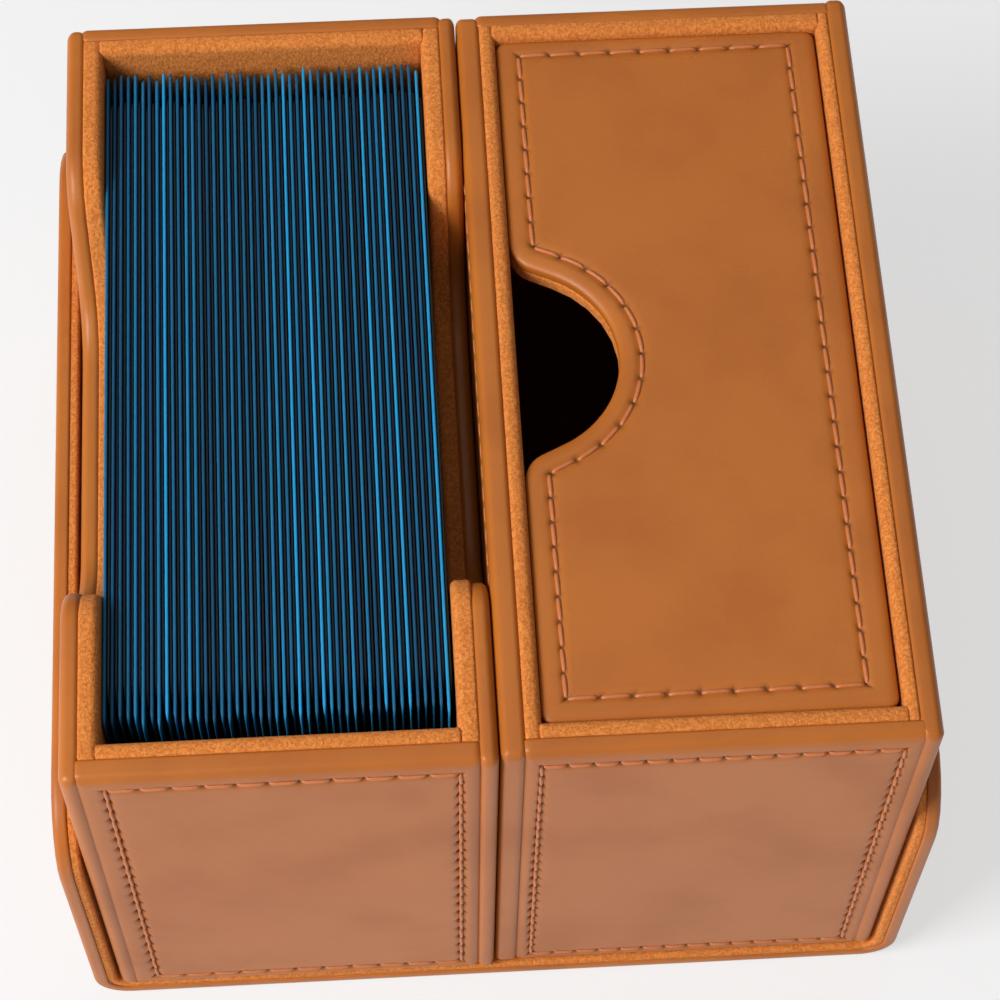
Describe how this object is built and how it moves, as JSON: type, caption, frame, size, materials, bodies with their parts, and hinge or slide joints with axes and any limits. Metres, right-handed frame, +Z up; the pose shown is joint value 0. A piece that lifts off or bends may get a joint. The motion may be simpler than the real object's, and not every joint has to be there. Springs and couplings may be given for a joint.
{
  "type": "card deck wallet",
  "caption": "Leather card deck wallet: an open tray of sleeved cards beside a case with a notched pull-out drawer, standing in a cover with two folding flaps.",
  "frame": {"origin": "on the table, under the middle of the wallet's box", "axes": "+X to the drawer case's side, +Y to the back, away from the stitched ends that the picture shows, +Z up"},
  "size_m": [0.1124, 0.1102, 0.0748],
  "materials": {
    "leather": "satin",
    "suede": "matt",
    "board": "matt",
    "sleeve": "satin",
    "steel": "plain"
  },
  "bodies": {
    "wallet": {"base_leather": "leather", "base_lining": "suede", "left_fold": "leather", "right_fold": "leather", "tray_left_leather": "leather", "tray_left_suede": "suede", "tray_right_leather": "leather", "tray_right_suede": "suede", "tray_front_leather": "leather", "tray_front_suede": "suede", "tray_back_leather": "leather", "tray_back_suede": "suede", "tray_floor_board": "board", "tray_floor_lining": "suede", "tray_keeper_front": "steel", "tray_keeper_back": "steel", "case_left_leather": "leather", "case_left_suede": "suede", "case_right_leather": "leather", "case_right_suede": "suede", "case_front_leather": "leather", "case_front_suede": "suede", "case_back_leather": "leather", "case_back_suede": "suede", "case_floor_board": "board", "case_floor_lining": "suede", "case_keeper_front": "steel", "case_keeper_back": "steel"},
    "left_flap": {"left_flap_leather": "leather", "left_flap_lining": "suede", "left_flap_magnet_front": "steel", "left_flap_magnet_back": "steel"},
    "right_flap": {"right_flap_leather": "leather", "right_flap_lining": "suede", "right_flap_magnet_front": "steel", "right_flap_magnet_back": "steel"},
    "deck": {"card_packet_01": "sleeve", "card_packet_02": "sleeve", "card_packet_03": "sleeve", "card_packet_04": "sleeve", "card_packet_05": "sleeve", "card_packet_06": "sleeve", "card_packet_07": "sleeve", "card_packet_08": "sleeve", "card_packet_09": "sleeve", "card_packet_10": "sleeve", "card_packet_11": "sleeve", "card_packet_12": "sleeve", "card_packet_13": "sleeve", "card_packet_14": "sleeve", "card_packet_15": "sleeve"},
    "drawer": {"drawer_face_leather": "leather", "drawer_face_suede": "suede", "drawer_foot": "suede", "drawer_front_side": "suede", "drawer_back_side": "suede", "drawer_floor": "suede"}
  },
  "joints": [
    {"name": "left_flap_fold", "type": "hinge", "parent": "wallet", "child": "left_flap", "pos_m": [-0.05426, 0, 0.00194], "axis": [0, -1, 0], "range_deg": [0, 90], "deforming": ["left_fold"]},
    {"name": "right_flap_fold", "type": "hinge", "parent": "wallet", "child": "right_flap", "pos_m": [0.05426, 0, 0.00194], "axis": [0, 1, 0], "range_deg": [0, 90], "deforming": ["right_fold"]},
    {"name": "deck_lift", "type": "slide", "parent": "wallet", "child": "deck", "axis": [0, 0, 1], "range_m": [0, 0.07]},
    {"name": "drawer_slide", "type": "slide", "parent": "wallet", "child": "drawer", "axis": [0, 0, 1], "range_m": [0, 0.058]}
  ]
}
